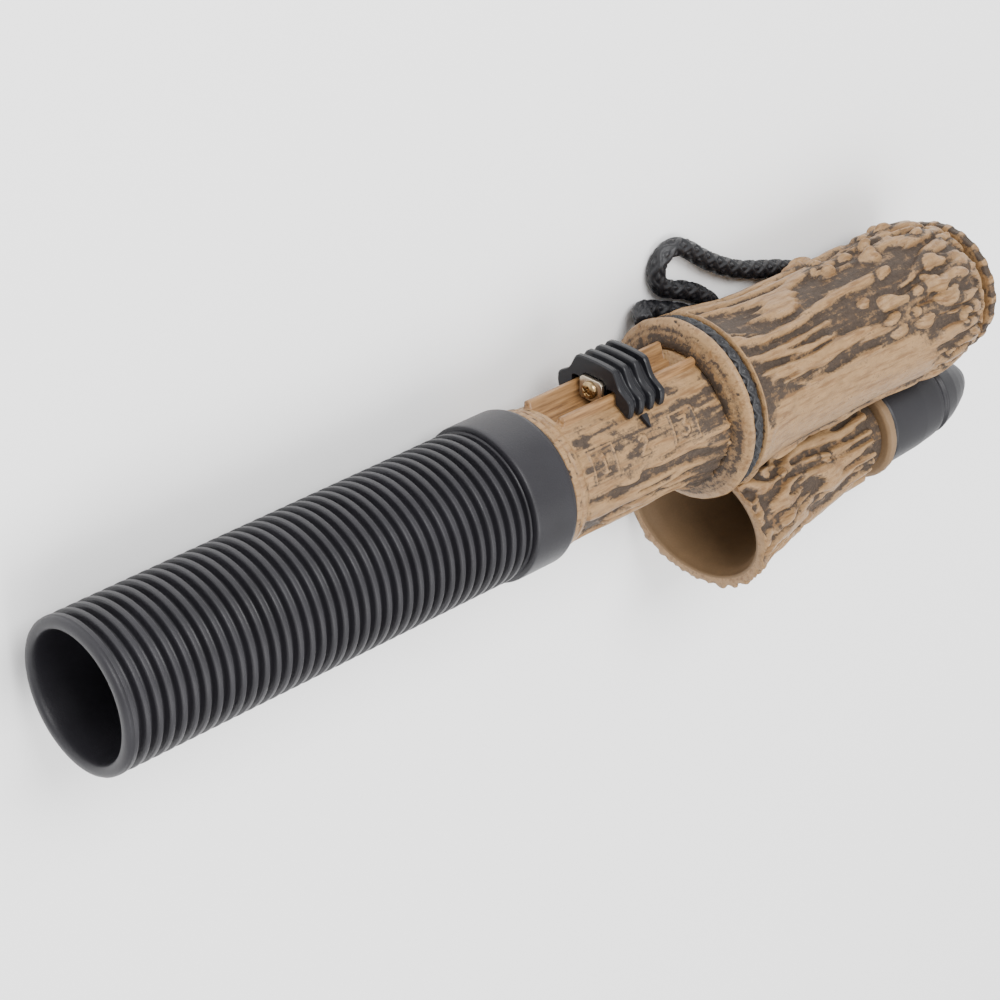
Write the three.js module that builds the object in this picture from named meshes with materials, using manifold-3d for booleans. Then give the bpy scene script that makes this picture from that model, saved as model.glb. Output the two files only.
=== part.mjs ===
// Slide-selector deer grunt call with a second, bell-mouthed chamber and a neck lanyard.
// Millimetres, +Z up. The call lies on its far side: +X runs from the hose's open end to the
// blow end, +Y points at the thumb slide, and the marked side faces up. Inside the "axis"
// group, x is the distance from the hose's open end and y = z = 0 is the main tube's axis.
import * as THREE from 'three';
import { mergeVertices } from 'three/addons/utils/BufferGeometryUtils.js';
import Module from 'manifold-3d';

const wasm = await Module();
wasm.setup();

// Driving dimensions
const OVERALL = 262;          // open end of the hose to the end of the rubber cap
const LYING_HEIGHT = 20.8;    // main axis above the surface: flange and bell both touch it
const SLIDE_TOP = 21.5;       // highest point of the thumb slide above the main axis
const BELL_BOTTOM = -44.9;    // far edge of the bell from the main axis
const GAP = 0.3;              // clearance between pieces that touch
const REST_GAP = 0.05;        // height of the lying cord above the surface

const HOSE = { rim: 16, bore: 13.3, taper: 0.4, ribs: 36, pitch: 2.763, first: 3.25, depth: 1.2,
  grooveHalf: 0.45, shoulder: 101.4, cuff: 17.1, end: 113.5, socket: 14.7, socketFrom: 98.5 };
const BARREL = { radius: 14.6, bore: 10.5, spigot: 14.4, spigotFrom: 98.8, lipFrom: 113.8,
  from: 118.5, to: 159.4, tailRadius: 14.2, end: 172 };
const CHANNEL = { half: 3.7, floor: 12.1, from: 119.5, to: 159, slitHalf: 1.4, railWidth: 2.3,
  railTop: 15.7 };
const SHELL = { from: 160, crest: 162.2, crestRadius: 20.8, grooveFrom: 163.3, grooveTo: 167.2,
  grooveFloor: 16.6, socket: 14.5, bore: 11.5, seat: 236, seatRadius: 12.6, end: 250.4 };
const SLIDE = { front: 134.4, back: 145, fins: 4, fin: 1.35, screwHeight: 15.2, travel: 11 };
const BOARD = { front: 104, plugEnd: 117, end: 160, radius: 10.2, top: 2.5, troughHalf: 3,
  troughFloor: -4, troughEnd: 157 };
const REED = { front: 110, hinge: 118, end: 156, half: 4, thick: 0.4, lift: 1.2 };
const CHAMBER = { mouth: 168, mouthAxis: -29.5, tailAxis: -28, neck: 222, spigot: 8, end: 243 };
const CAP = { from: 225.8, bore: 8.3, hole: 2.2, end: OVERALL };
const CORD = { diameter: 4.2, loopRadius: 1.65, loopMajor: 18.6, loopAt: 165.25 };
const HANK = { from: 206, to: 268, near: -12.5, far: -37.5, height: 7.9, tieFrom: 238.5,
  tieTo: 242.5, tieWall: 1 };

// Materials
const colour = (hex, roughness, metalness = 0) =>
  new THREE.MeshStandardMaterial({ color: hex, roughness, metalness });
const bark = () => colour(0xb0956f, 0.6);
const blackRubber = () => colour(0x2b2a2c, 0.55);
const blackPlastic = () => colour(0x2c2d31, 0.45);
const brass = () => colour(0xb79a64, 0.3, 1);
const nickel = () => colour(0xb9b4a8, 0.3, 1);
const moulding = () => colour(0x4a4b4c, 0.5);
const film = () => colour(0xd8d4c4, 0.3);
const braid = () => colour(0x17171a, 0.85);

// Geometry helpers
const v2 = (x, y) => new THREE.Vector2(x, y);

function solid(geometry) {
  const bare = geometry.clone();
  bare.deleteAttribute('normal');
  bare.deleteAttribute('uv');
  const merged = mergeVertices(bare, 1e-4);
  const corner = merged.index.array;
  const kept = [];
  for (let i = 0; i < corner.length; i += 3) {
    const [a, b, c] = [corner[i], corner[i + 1], corner[i + 2]];
    if (a !== b && b !== c && c !== a) kept.push(a, b, c);
  }
  return new wasm.Manifold(new wasm.Mesh({
    numProp: 3,
    vertProperties: Float32Array.from(merged.attributes.position.array),
    triVerts: Uint32Array.from(kept),
  }));
}

function geometryOf(manifold) {
  const mesh = manifold.getMesh();
  const geometry = new THREE.BufferGeometry();
  geometry.setAttribute('position', new THREE.BufferAttribute(mesh.vertProperties, 3));
  geometry.setIndex(new THREE.BufferAttribute(mesh.triVerts, 1));
  geometry.computeVertexNormals();
  return geometry;
}

// A body of revolution about the x direction. Points are [x, radius]; the outer wall runs
// towards +x and a hollow piece's inner wall runs back again.
function turned(points, { y = 0, sides = 32, closed = true } = {}) {
  const profile = points.map(([x, r]) => v2(r, x));
  if (closed) profile.push(profile[0].clone());
  const geometry = new THREE.LatheGeometry(profile, sides);
  geometry.rotateZ(-Math.PI / 2);
  geometry.translate(0, y, 0);
  return geometry;
}

const rod = (from, to, radius, options = {}) =>
  turned([[from, 0], [from, radius], [to, radius], [to, 0]], { closed: false, ...options });

// A section drawn in y and z, pushed from one x to another.
function pushed(outline, from, to) {
  const geometry = new THREE.ExtrudeGeometry(new THREE.Shape(outline.map(([y, z]) => v2(y, z))),
    { depth: to - from, bevelEnabled: false });
  geometry.applyMatrix4(new THREE.Matrix4().set(0, 0, 1, from, 1, 0, 0, 0, 0, 1, 0, 0, 0, 0, 0, 1));
  return geometry;
}

function block(x0, x1, y0, y1, z0, z1) {
  const geometry = new THREE.BoxGeometry(x1 - x0, y1 - y0, z1 - z0);
  geometry.translate((x0 + x1) / 2, (y0 + y1) / 2, (z0 + z1) / 2);
  return geometry;
}

// Straight-line value between the stations of a table of [x, value] pairs.
function along(table, x) {
  if (x <= table[0][0]) return table[0][1];
  for (let i = 1; i < table.length; i += 1) {
    const [x0, v0] = table[i - 1];
    const [x1, v1] = table[i];
    if (x <= x1) return v0 + (v1 - v0) * (x - x0) / (x1 - x0);
  }
  return table[table.length - 1][1];
}

function reshaped(geometry, move) {
  const place = geometry.attributes.position;
  for (let i = 0; i < place.count; i += 1) {
    place.setXYZ(i, ...move(place.getX(i), place.getY(i), place.getZ(i)));
  }
  return geometry;
}

// Rubber hose with its smooth cuff
function hose() {
  const outside = (x) => HOSE.rim + HOSE.taper * x / 100;
  const points = [[0, HOSE.rim - 1.4], [0.7, HOSE.rim - 0.2], [1.2, HOSE.rim]];
  for (let k = 0; k < HOSE.ribs; k += 1) {
    const x = HOSE.first + HOSE.pitch * k;
    points.push([x - HOSE.grooveHalf, outside(x)], [x, outside(x) - HOSE.depth],
      [x + HOSE.grooveHalf, outside(x)]);
  }
  points.push([HOSE.shoulder - 0.4, outside(100)], [HOSE.shoulder, outside(100) - 0.5],
    [HOSE.shoulder + 0.5, HOSE.cuff], [HOSE.end - 1, HOSE.cuff], [HOSE.end, HOSE.cuff - 0.8],
    [HOSE.end, HOSE.socket], [HOSE.socketFrom, HOSE.socket], [HOSE.socketFrom, HOSE.bore],
    [0.8, HOSE.bore], [0, HOSE.bore + 0.5]);
  return turned(points, { sides: 16 });
}

// Front barrel: hose spigot, double lip, slide channel between two rails, tail in the shell
function frontBarrel() {
  const { radius, lipFrom, from, to } = BARREL;
  let body = solid(turned([
    [BARREL.spigotFrom, BARREL.bore], [BARREL.spigotFrom, BARREL.spigot - 0.5],
    [BARREL.spigotFrom + 1, BARREL.spigot], [lipFrom, BARREL.spigot], [lipFrom, 15.3],
    [lipFrom + 0.5, 15.8], [lipFrom + 1.7, 15.8], [lipFrom + 2.2, 15], [lipFrom + 2.7, 15.4],
    [lipFrom + 3.7, 15.3], [from, radius], [to, radius], [to, BARREL.tailRadius],
    [BARREL.end, BARREL.tailRadius], [BARREL.end, BARREL.bore]]));
  const inner = CHANNEL.half;
  const outer = inner + CHANNEL.railWidth;
  for (const side of [-1, 1]) {
    const rail = [[CHANNEL.floor, side * inner], [CHANNEL.railTop - 0.6, side * inner],
      [CHANNEL.railTop, side * (inner + 0.5)], [CHANNEL.railTop, side * (outer - 0.6)],
      [CHANNEL.railTop - 0.7, side * outer], [CHANNEL.floor, side * outer]];
    body = body.add(solid(pushed(side > 0 ? rail : rail.reverse(), CHANNEL.from - 1, CHANNEL.to)));
  }
  const channel = block(CHANNEL.from, CHANNEL.to, CHANNEL.floor, 18, -inner, inner);
  const slit = block(121, 158, 8, 13, -CHANNEL.slitHalf, CHANNEL.slitHalf);
  return geometryOf(body.subtract(solid(channel)).subtract(solid(slit)));
}

// Rear shell: concave flange, lanyard groove and a barrel that is flatter below and beside
// the second chamber. An offset outline gives the space that its neighbours keep clear of.
const BARREL_OUTSIDE = [[SHELL.grooveTo, 20.3], [169, 20], [172, 19.4], [176, 18.9], [183, 18.4],
  [200, 18.3], [212, 18.3], [222, 18.6], [232, 19], [239, 18.6], [245, 17.8], [248.5, 16.6],
  [SHELL.end, 15.6]];
const UNDERSIDE = [[168, 1], [176, 0.985], [187, 0.875], [246, 0.875], [250.4, 0.96]];
const CHAMBER_SIDE = [[172, 1], [176, 0.97], [189, 0.95], [203, 0.92], [214, 0.89], [222, 0.88],
  [233, 0.85], [243, 0.8], [250.4, 0.85]];

function shellOutside(front, offset) {
  const points = [...front, ...BARREL_OUTSIDE].map(([x, r]) => [x, r + offset]);
  const body = turned([[points[0][0], 0], ...points, [SHELL.end, 0]], { closed: false });
  return reshaped(body, (x, y, z) => [x, y < 0 ? y * along(CHAMBER_SIDE, x) : y,
    z < 0 ? z * along(UNDERSIDE, x) : z]);
}

function rearShell() {
  const flange = [[SHELL.from, 15.6], [SHELL.from + 0.3, 17.1], [SHELL.from + 0.9, 18.9],
    [SHELL.from + 1.5, 20.2], [SHELL.crest, SHELL.crestRadius], [SHELL.grooveFrom, 20.4],
    [SHELL.grooveFrom, SHELL.grooveFloor], [SHELL.grooveTo, SHELL.grooveFloor]];
  const inside = turned([[SHELL.from - 1, 0], [SHELL.from - 1, SHELL.socket],
    [BARREL.end + GAP, SHELL.socket], [BARREL.end + GAP, SHELL.bore], [SHELL.seat, SHELL.bore],
    [SHELL.seat, SHELL.seatRadius], [SHELL.end + 1, SHELL.seatRadius], [SHELL.end + 1, 0]],
  { closed: false });
  return geometryOf(solid(shellOutside(flange, 0)).subtract(solid(inside)));
}

const shellClearance = () => solid(shellOutside([[150, 20.9]], 0.4));

// Blow end of the main tube
function mouthpiece() {
  const socket = SHELL.seatRadius - GAP;
  return turned([[238, 6.5], [238, socket - 0.6], [238.8, socket], [241.8, socket],
    [241.8, 10.6], [244.2, 10.6], [244.2, socket], [SHELL.end + GAP, socket],
    [SHELL.end + GAP, 15.4], [251.4, 16], [252.4, 15.8], [253.6, 14.6], [255, 12.6], [256, 10],
    [256, 7.5], [255, 6.5]]);
}

function ring(at, major, minor, { y = 0, sides = 6 } = {}) {
  const points = [];
  for (let k = 0; k < sides; k += 1) {
    const turn = -Math.PI * 2 * k / sides;
    points.push([at - minor * Math.cos(turn), major - minor * Math.sin(turn)]);
  }
  return turned(points, { y, sides: 28 });
}

// Tone board: a sealing plug and a half-round board with an air trough under the reed
function toneBoard() {
  const plug = turned([[BOARD.front, 0], [BOARD.front, BOARD.radius - 0.5],
    [BOARD.front + 0.6, BOARD.radius], [108.6, BOARD.radius], [108.6, 8.8], [111, 8.8],
    [111, BOARD.radius], [BOARD.plugEnd, BOARD.radius], [BOARD.plugEnd, 0]],
  { closed: false, sides: 32 });
  const board = solid(rod(BOARD.plugEnd - 0.5, BOARD.end, BOARD.radius, { sides: 32 }))
    .subtract(solid(block(BOARD.plugEnd - 1, BOARD.end + 1, BOARD.top, 12, -12, 12)));
  const trough = block(BOARD.front - 1, BOARD.troughEnd, BOARD.troughFloor, BOARD.top + 0.01,
    -BOARD.troughHalf, BOARD.troughHalf);
  const reedSeat = block(REED.front - GAP, BOARD.plugEnd + 1, BOARD.top, 5.6,
    -REED.half - GAP, REED.half + GAP);
  return geometryOf(solid(plug).add(board).subtract(solid(trough)).subtract(solid(reedSeat)));
}

function reed() {
  const geometry = block(REED.front - REED.hinge, REED.end - REED.hinge, 0, REED.thick,
    -REED.half, REED.half);
  geometry.rotateZ(THREE.MathUtils.degToRad(REED.lift));
  geometry.translate(REED.hinge, BOARD.top + GAP, 0);
  return geometry;
}

function reedWedge() {
  return pushed([[BOARD.top + 1.1, -REED.half], [5.3, -REED.half + 0.4], [5.3, REED.half - 0.4],
    [BOARD.top + 1.1, REED.half]], REED.front, REED.hinge + 0.4);
}

// Thumb slide: finned saddle over the rails, with a clamp plate, screw and nut
const railTop = CHANNEL.railTop + GAP;
const railSide = CHANNEL.half + CHANNEL.railWidth + GAP;
const tongue = CHANNEL.half - GAP;

const underWing = (z) => [Math.sqrt((BARREL.radius + 0.4) ** 2 - z * z), z];

function saddleOutline(inset) {
  const half = [[SLIDE_TOP - inset, 0], [21 - inset, 5.5 - inset * 0.6],
    [17.2, 7.2 - inset * 0.6], [15.6 - inset * 0.5, 10.4 - inset], underWing(10.2 - inset),
    underWing(8.2), underWing(railSide), [railTop, railSide], [railTop, tongue],
    [CHANNEL.floor + GAP, tongue]];
  const mirrored = half.slice(1).reverse().map(([y, z]) => [y, -z]);
  return [...half, ...mirrored];
}

function saddle() {
  const { front, back, fins, fin } = SLIDE;
  let body = solid(pushed(saddleOutline(1.2), front, back));
  const pitch = (back - front - fin) / (fins - 1);
  for (let k = 0; k < fins; k += 1) {
    const from = front + pitch * k;
    body = body.add(solid(pushed(saddleOutline(0), from, from + fin)));
  }
  const h = SLIDE.screwHeight;
  const bore = rod(front - 1, 141.6, 1.25, { y: h, sides: 16 });
  const nutPocket = block(138.7, 140.7, 12, h + 2.1, -2.1, 2.1);
  const neckPocket = block(141.6, 144.1, 12, 16.8, -1.4, 1.4);
  return geometryOf(body.subtract(solid(bore)).subtract(solid(nutPocket))
    .subtract(solid(neckPocket)));
}

function clampPlate() {
  const plate = solid(pushed([[CHANNEL.floor + GAP, -2.4], [17, -3.2], [17.6, -2.4], [17.6, 2.4],
    [17, 3.2], [CHANNEL.floor + GAP, 2.4]], SLIDE.front - 1, SLIDE.front - GAP));
  return geometryOf(plate.subtract(
    solid(rod(SLIDE.front - 2, SLIDE.front, 1.25, { y: SLIDE.screwHeight, sides: 16 }))));
}

function clampScrew() {
  const back = SLIDE.front - 1 - GAP;
  const y = SLIDE.screwHeight;
  const body = solid(turned([[back - 1.2, 0], [back - 1.2, 1], [back - 0.8, 1.7], [back - 0.3, 2],
    [back, 2], [back, 0.9], [141.3, 0.9], [141.3, 0]], { y, closed: false, sides: 20 }));
  const recess = (a, b) => solid(block(back - 2, back - 0.6, y - a, y + a, -b, b));
  return geometryOf(body.subtract(recess(1.1, 0.22)).subtract(recess(0.22, 1.1)));
}

function clampNut() {
  const y = SLIDE.screwHeight;
  return geometryOf(solid(block(139, 140.4, y - 1.8, y + 1.8, -1.8, 1.8))
    .subtract(solid(rod(138, 141, 1.2, { y, sides: 16 }))));
}

// Runner under the channel floor: its neck passes the slit, its pad presses the reed
function reedRunner() {
  const shoe = solid(block(136.5, 144.5, 5.2, 9.3, -4, 4));
  const neck = solid(block(141.9, 143.8, 9, 16.5, -1.1, 1.1));
  const seat = solid(block(137.6, 141, 4, 6.8, -5, 5));
  return geometryOf(shoe.add(neck).subtract(seat));
}

function reedPad() {
  return pushed([[4.7, -3.6], [6.5, -3.6], [6.5, 3.6], [4.7, 3.6]], 137.9, 140.7);
}

// Second chamber: an oval bell that narrows to a spigot, scooped to lie against the shell
const HALF_WIDTH = [[168, 20.8], [171, 19.4], [175, 18.2], [180, 17], [185, 15.6], [193, 14.1],
  [202, 12.6], [210, 11], [216, 10.5], [222, 10.4]];
const HALF_HEIGHT = [[168, 15.4], [171, 15.3], [175, 15.2], [180, 15], [185, 14.5], [193, 13.6],
  [202, 12.4], [210, 11], [216, 10.5], [222, 10.4]];
const WALL = [[168, 3], [175, 3.4], [190, 3.2], [222, 4.4]];
const chamberAxis = (x) =>
  along([[CHAMBER.mouth, CHAMBER.mouthAxis], [CHAMBER.neck, CHAMBER.tailAxis]], x);

function oval(inset, stations) {
  const points = [[stations[0], 0]];
  stations.forEach((x) => points.push([x, 1]));
  points.push([stations[stations.length - 1], 0]);
  const wall = (x) => (inset ? along(WALL, x) : 0);
  return reshaped(turned(points, { closed: false }), (x, y, z) =>
    [x, chamberAxis(x) + y * (along(HALF_HEIGHT, x) - wall(x)), z * (along(HALF_WIDTH, x) - wall(x))]);
}

function lowerChamber() {
  const y = CHAMBER.tailAxis;
  const outside = oval(false, HALF_WIDTH.map(([x]) => x));
  const inside = oval(true, [167, 171, 175, 180, 190, 200, 210, 219]);
  const spigot = rod(CHAMBER.neck - 1, CHAMBER.end, CHAMBER.spigot, { y });
  const bore = rod(212, CHAMBER.end + 1, 5, { y, sides: 24 });
  return geometryOf(solid(outside).add(solid(spigot)).subtract(solid(inside))
    .subtract(solid(bore)).subtract(shellClearance()));
}

function chamberRing() {
  const y = CHAMBER.tailAxis;
  const hoop = turned([[222.4, 8.4], [222.4, 11.4], [223, 12.1], [224.6, 12.1], [225.4, 11.4],
    [225.4, 8.4]], { y });
  return geometryOf(solid(hoop).subtract(shellClearance()));
}

function chamberCap() {
  const y = CHAMBER.tailAxis;
  return turned([[CAP.from, CAP.bore], [CAP.from, 10.6], [226.6, 11], [230, 10.8], [238, 10.5],
    [244, 9.9], [245.6, 9.6], [246.4, 8.9], [247.2, 9.4], [249, 9.1], [252, 8.4], [255, 7.2],
    [258, 5.8], [260.4, 4.2], [261.6, 3], [CAP.end, 2.6], [CAP.end, CAP.hole], [252, CAP.hole],
    [250, 5], [243.4, 5], [243.4, CAP.bore]], { y });
}

function airJet() {
  const y = CHAMBER.tailAxis;
  return turned([[234, 1.2], [234, 4.7], [241.5, 4.7], [241.5, 3], [238, 1.2]], { y, sides: 24 });
}

// Lanyard. Free stretches run along the surface and under the shell's flatter side to the hank.
const lowest = -LYING_HEIGHT + CORD.diameter / 2 + REST_GAP;
const LEAD = [[165.3, 14.7, -14.7], [165.6, 15.7, -16], [167, 16.2, -17.8], [170, 14.8, lowest],
  [175, 12.7, lowest], [180, 10.9, lowest], [184, 8.7, lowest], [187.5, 5.3, lowest],
  [189.8, 0, lowest], [190.8, -8, lowest], [192.4, -17, lowest], [195.4, -26, lowest],
  [200.8, -32.8, lowest], [208.6, -35.4, lowest]];
const BIGHT = [[209.6, -14.4, lowest + 2.4], [204.6, -12.9, lowest + 0.9], [200.6, -9.8, lowest],
  [198, -5, lowest], [196.6, 0, lowest], [194.5, 5.5, lowest], [191, 9.9, lowest],
  [186, 13.6, lowest], [181, 16, lowest], [177.4, 16.9, lowest], [174.2, 18.4, lowest],
  [172.4, 21.5, lowest], [172.9, 25.1, lowest], [176, 27.5, lowest], [180.2, 27, lowest],
  [184, 24.2, lowest], [188.5, 20.8, lowest], [194, 17.5, lowest], [200, 14.5, lowest], [208, 12, lowest],
  [215.5, 9.9, lowest], [222, 7, lowest], [229, 5.5, lowest], [241, 5.5, lowest]];

function cordTube(route) {
  const curve = new THREE.CatmullRomCurve3(route.map((p) => new THREE.Vector3(...p)), false,
    'centripetal');
  const section = new THREE.Shape();
  for (let k = 0; k < 8; k += 1) {
    const turn = Math.PI * 2 * k / 8;
    const corner = [Math.cos(turn) * CORD.diameter / 2, Math.sin(turn) * CORD.diameter / 2];
    if (k === 0) section.moveTo(...corner);
    else section.lineTo(...corner);
  }
  section.closePath();
  const steps = Math.ceil(curve.getLength() / (CORD.diameter * 1.2));
  return new THREE.ExtrudeGeometry(section, { steps, bevelEnabled: false, extrudePath: curve });
}

function hank() {
  const y = (HANK.near + HANK.far) / 2;
  const half = (HANK.near - HANK.far) / 2;
  const outline = new THREE.Shape();
  outline.absarc(HANK.from + half, y, half, Math.PI / 2, Math.PI * 1.5, false);
  outline.absarc(HANK.to - half, y, half, -Math.PI / 2, Math.PI / 2, false);
  const geometry = new THREE.ExtrudeGeometry(outline,
    { depth: HANK.height, bevelEnabled: false, curveSegments: 10 });
  geometry.translate(0, 0, -LYING_HEIGHT + REST_GAP);
  return geometry;
}

function hankTie() {
  const near = HANK.near + GAP;
  const far = HANK.far - GAP;
  const floor = -LYING_HEIGHT + REST_GAP;
  const top = floor + HANK.height + GAP;
  const wall = HANK.tieWall;
  return pushed([[near + wall, floor], [near + wall, top + wall], [far - wall, top + wall],
    [far - wall, floor], [far, floor], [far, top], [near, top], [near, floor]],
  HANK.tieFrom, HANK.tieTo);
}

// Assembly
const call = new THREE.Group();
const axis = new THREE.Group();
axis.position.set(-OVERALL / 2, -(SLIDE_TOP + BELL_BOTTOM) / 2, LYING_HEIGHT);
call.add(axis);

function piece(name, geometry, material) {
  const mesh = new THREE.Mesh(geometry, material);
  mesh.name = name;
  axis.add(mesh);
}

piece('hose', hose(), blackRubber());
piece('front_barrel', frontBarrel(), bark());
piece('rear_barrel', rearShell(), bark());
piece('mouthpiece', mouthpiece(), bark());
piece('mouthpiece_o_ring', ring(243, 11.6, 0.7), blackRubber());
piece('tone_board', toneBoard(), moulding());
piece('tone_board_o_ring', ring(109.8, 9.65, 0.55), blackRubber());
piece('reed', reed(), film());
piece('reed_wedge', reedWedge(), moulding());
piece('slide_saddle', saddle(), blackPlastic());
piece('slide_plate', clampPlate(), nickel());
piece('slide_screw', clampScrew(), brass());
piece('slide_nut', clampNut(), brass());
piece('reed_runner', reedRunner(), moulding());
piece('reed_pad', reedPad(), blackRubber());
piece('lower_chamber', lowerChamber(), bark());
piece('chamber_ring', chamberRing(), bark());
piece('air_jet', airJet(), moulding());
piece('chamber_cap', chamberCap(), blackRubber());
piece('lanyard_loop', ring(CORD.loopAt, CORD.loopMajor, CORD.loopRadius, { sides: 8 }), braid());
piece('lanyard_lead', cordTube(LEAD), braid());
piece('lanyard_bight', cordTube(BIGHT), braid());
piece('lanyard_hank', hank(), braid());
piece('lanyard_tie', hankTie(), blackRubber());

export default call;
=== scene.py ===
"""Looks of a slide-selector deer grunt call: bark-relief mouldings, ribbed hose, thumb slide,
bell chamber and braided lanyard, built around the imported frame. Lengths are millimetres in
"station" places (s along the main tube from the hose's open end, y towards the thumb slide,
z up, both from the tube's axis) until row() turns them into the frame's metres."""
import math

import bmesh
import bpy
import numpy as np
from mathutils import Matrix, Vector


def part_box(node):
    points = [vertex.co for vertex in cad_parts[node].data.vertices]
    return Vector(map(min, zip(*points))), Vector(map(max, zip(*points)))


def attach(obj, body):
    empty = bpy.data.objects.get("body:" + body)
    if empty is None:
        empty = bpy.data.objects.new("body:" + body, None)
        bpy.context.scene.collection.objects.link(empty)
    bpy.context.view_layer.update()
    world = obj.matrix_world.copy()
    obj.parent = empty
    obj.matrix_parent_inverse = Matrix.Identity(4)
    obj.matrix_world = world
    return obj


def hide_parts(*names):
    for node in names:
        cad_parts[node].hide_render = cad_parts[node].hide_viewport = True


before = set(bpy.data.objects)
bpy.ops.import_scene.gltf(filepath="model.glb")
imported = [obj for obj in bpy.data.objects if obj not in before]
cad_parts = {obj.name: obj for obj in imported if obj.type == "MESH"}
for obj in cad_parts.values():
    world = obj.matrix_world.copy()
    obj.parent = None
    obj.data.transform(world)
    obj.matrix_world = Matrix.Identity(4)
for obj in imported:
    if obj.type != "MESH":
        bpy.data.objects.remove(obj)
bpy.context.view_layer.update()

MM = 0.001
HOSE_LOW, HOSE_HIGH = (np.array(corner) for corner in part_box("hose"))
ORIGIN = np.array([HOSE_LOW[0], (HOSE_LOW[1] + HOSE_HIGH[1]) / 2, (HOSE_LOW[2] + HOSE_HIGH[2]) / 2])
FLOOR = -ORIGIN[2] / MM
FLOOR_GAP = 0.03


def station(node):
    """A CAD node's first and last station, in mm."""
    low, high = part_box(node)
    return (low[0] - ORIGIN[0]) / MM, (high[0] - ORIGIN[0]) / MM


def row(places):
    """Station places in mm to row-frame metres."""
    return np.asarray(places, float) * MM + ORIGIN


# -------- camera
CAMERA_LENS, SENSOR_WIDTH = 100.8, 36
CAMERA_PLACE = (-239.2, 287.7, 354.5)
CAMERA_RIGHT = Vector((0.7184, 0.0088, 0.6956))
CAMERA_BACK = Vector((-0.6043, 0.5032, 0.6178))


def camera():
    data = bpy.data.cameras.new("camera")
    data.lens, data.sensor_width = CAMERA_LENS, SENSOR_WIDTH
    data.clip_start, data.clip_end = 0.01, 20
    eye = bpy.data.objects.new("camera", data)
    bpy.context.collection.objects.link(eye)
    back = CAMERA_BACK.normalized()
    right = (CAMERA_RIGHT - back * CAMERA_RIGHT.dot(back)).normalized()
    up = back.cross(right)
    turn = Matrix((right, up, back)).transposed().to_4x4()
    eye.matrix_world = Matrix.Translation(Vector(row(CAMERA_PLACE))) @ turn
    bpy.context.scene.camera = eye


camera()


# -------- noise
class Noise:
    """Smooth gradient noise in three dimensions, about -1 to 1, the same on every run."""

    CELLS, GAIN = 256, 1.6

    def __init__(self, seed):
        draw = np.random.RandomState(seed)
        self.order = np.tile(draw.permutation(self.CELLS), 3)
        self.slopes = unit(draw.normal(size=(self.CELLS, 3)))

    def __call__(self, x, y, z):
        p = np.stack(np.broadcast_arrays(x, y, z), -1).astype(float)
        cell = np.floor(p).astype(int)
        f = p - cell
        ease = f * f * f * (f * (f * 6 - 15) + 10)
        total = 0
        for corner in np.ndindex(2, 2, 2):
            at = (cell + corner) & (self.CELLS - 1)
            index = self.order[self.order[self.order[at[..., 0]] + at[..., 1]] + at[..., 2]]
            dot = (self.slopes[index] * (f - corner)).sum(-1)
            weight = np.prod(np.where(corner, ease, 1 - ease), axis=-1)
            total = total + weight * dot
        return total * self.GAIN


def unit(rows):
    """Each row's direction."""
    return rows / np.linalg.norm(rows, axis=1)[:, None]


def fade(low, high, x):
    """0 before low and 1 past high, eased between them; low may be the larger one."""
    t = np.clip((x - low) / (high - low), 0, 1)
    return t * t * (3 - 2 * t)


BARK = Noise(7)
WARP = Noise(21)
FINE = Noise(33)


def bark(s, y, z, length, width, warp=1.0):
    """Lengthwise bark, with ridges of about the given length and width in mm. The first
    value is 0 in the rough dark grooves and 1 on the tan ridges; the second is how round a
    ridge stands at that place."""
    bend = 2.6 * warp * WARP(s / 22, y / 14, z / 14)
    slide = 9 * WARP(s / 40 + 5, y / 8, z / 8)
    wave = BARK((s + slide) / length, (y + bend) / width, (z - bend) / width)
    ragged = FINE(s / 5, y / 1.1, z / 1.1)
    thread = FINE(s / 13 + 7, y / 0.95, z / 0.95)
    height = wave + 0.17 * ragged + 0.2 * thread - 0.03
    return fade(-0.2, 0.16, height), np.clip(height * 2.0, 0, 1)


# -------- meshes
def add_mesh(name, verts, faces, material, smooth=True, wash_and_shade=None):
    """A new piece from metre places and groups of faces; each group's faces have one size.
    The last argument, if given, is each point's share of dark paint (the moulding's own brown, and
    painted shade in places); bark_material reads it."""
    mesh = bpy.data.meshes.new(name)
    mesh.vertices.add(len(verts))
    mesh.vertices.foreach_set("co", np.asarray(verts, np.float32).ravel())
    faces = [np.asarray(group, np.int32) for group in faces]
    sizes = np.concatenate([np.full(len(group), group.shape[1]) for group in faces])
    mesh.loops.add(int(sizes.sum()))
    mesh.loops.foreach_set("vertex_index", np.concatenate([group.ravel() for group in faces]))
    mesh.polygons.add(len(sizes))
    starts = np.concatenate([[0], np.cumsum(sizes)[:-1]]).astype(np.int32)
    mesh.polygons.foreach_set("loop_start", starts)
    mesh.polygons.foreach_set("use_smooth", np.full(len(sizes), smooth))
    mesh.update(calc_edges=True)
    if wash_and_shade is not None:
        layer = mesh.attributes.new("wash_and_shade", "FLOAT", "POINT")
        layer.data.foreach_set("value", np.asarray(wash_and_shade, np.float32).ravel())
    mesh.materials.append(material)
    thing = bpy.data.objects.new(name, mesh)
    bpy.context.collection.objects.link(thing)
    return thing


def ring_faces(n, m, closed_rows=True):
    """Quads of a grid of n rows by m points whose columns wrap round."""
    i = np.arange(n if closed_rows else n - 1)[:, None]
    j = np.arange(m)[None, :]
    a, b = i * m + j, ((i + 1) % n) * m + j
    c, d = ((i + 1) % n) * m + (j + 1) % m, i * m + (j + 1) % m
    return np.stack([a, d, c, b], -1).reshape(-1, 4)


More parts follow.
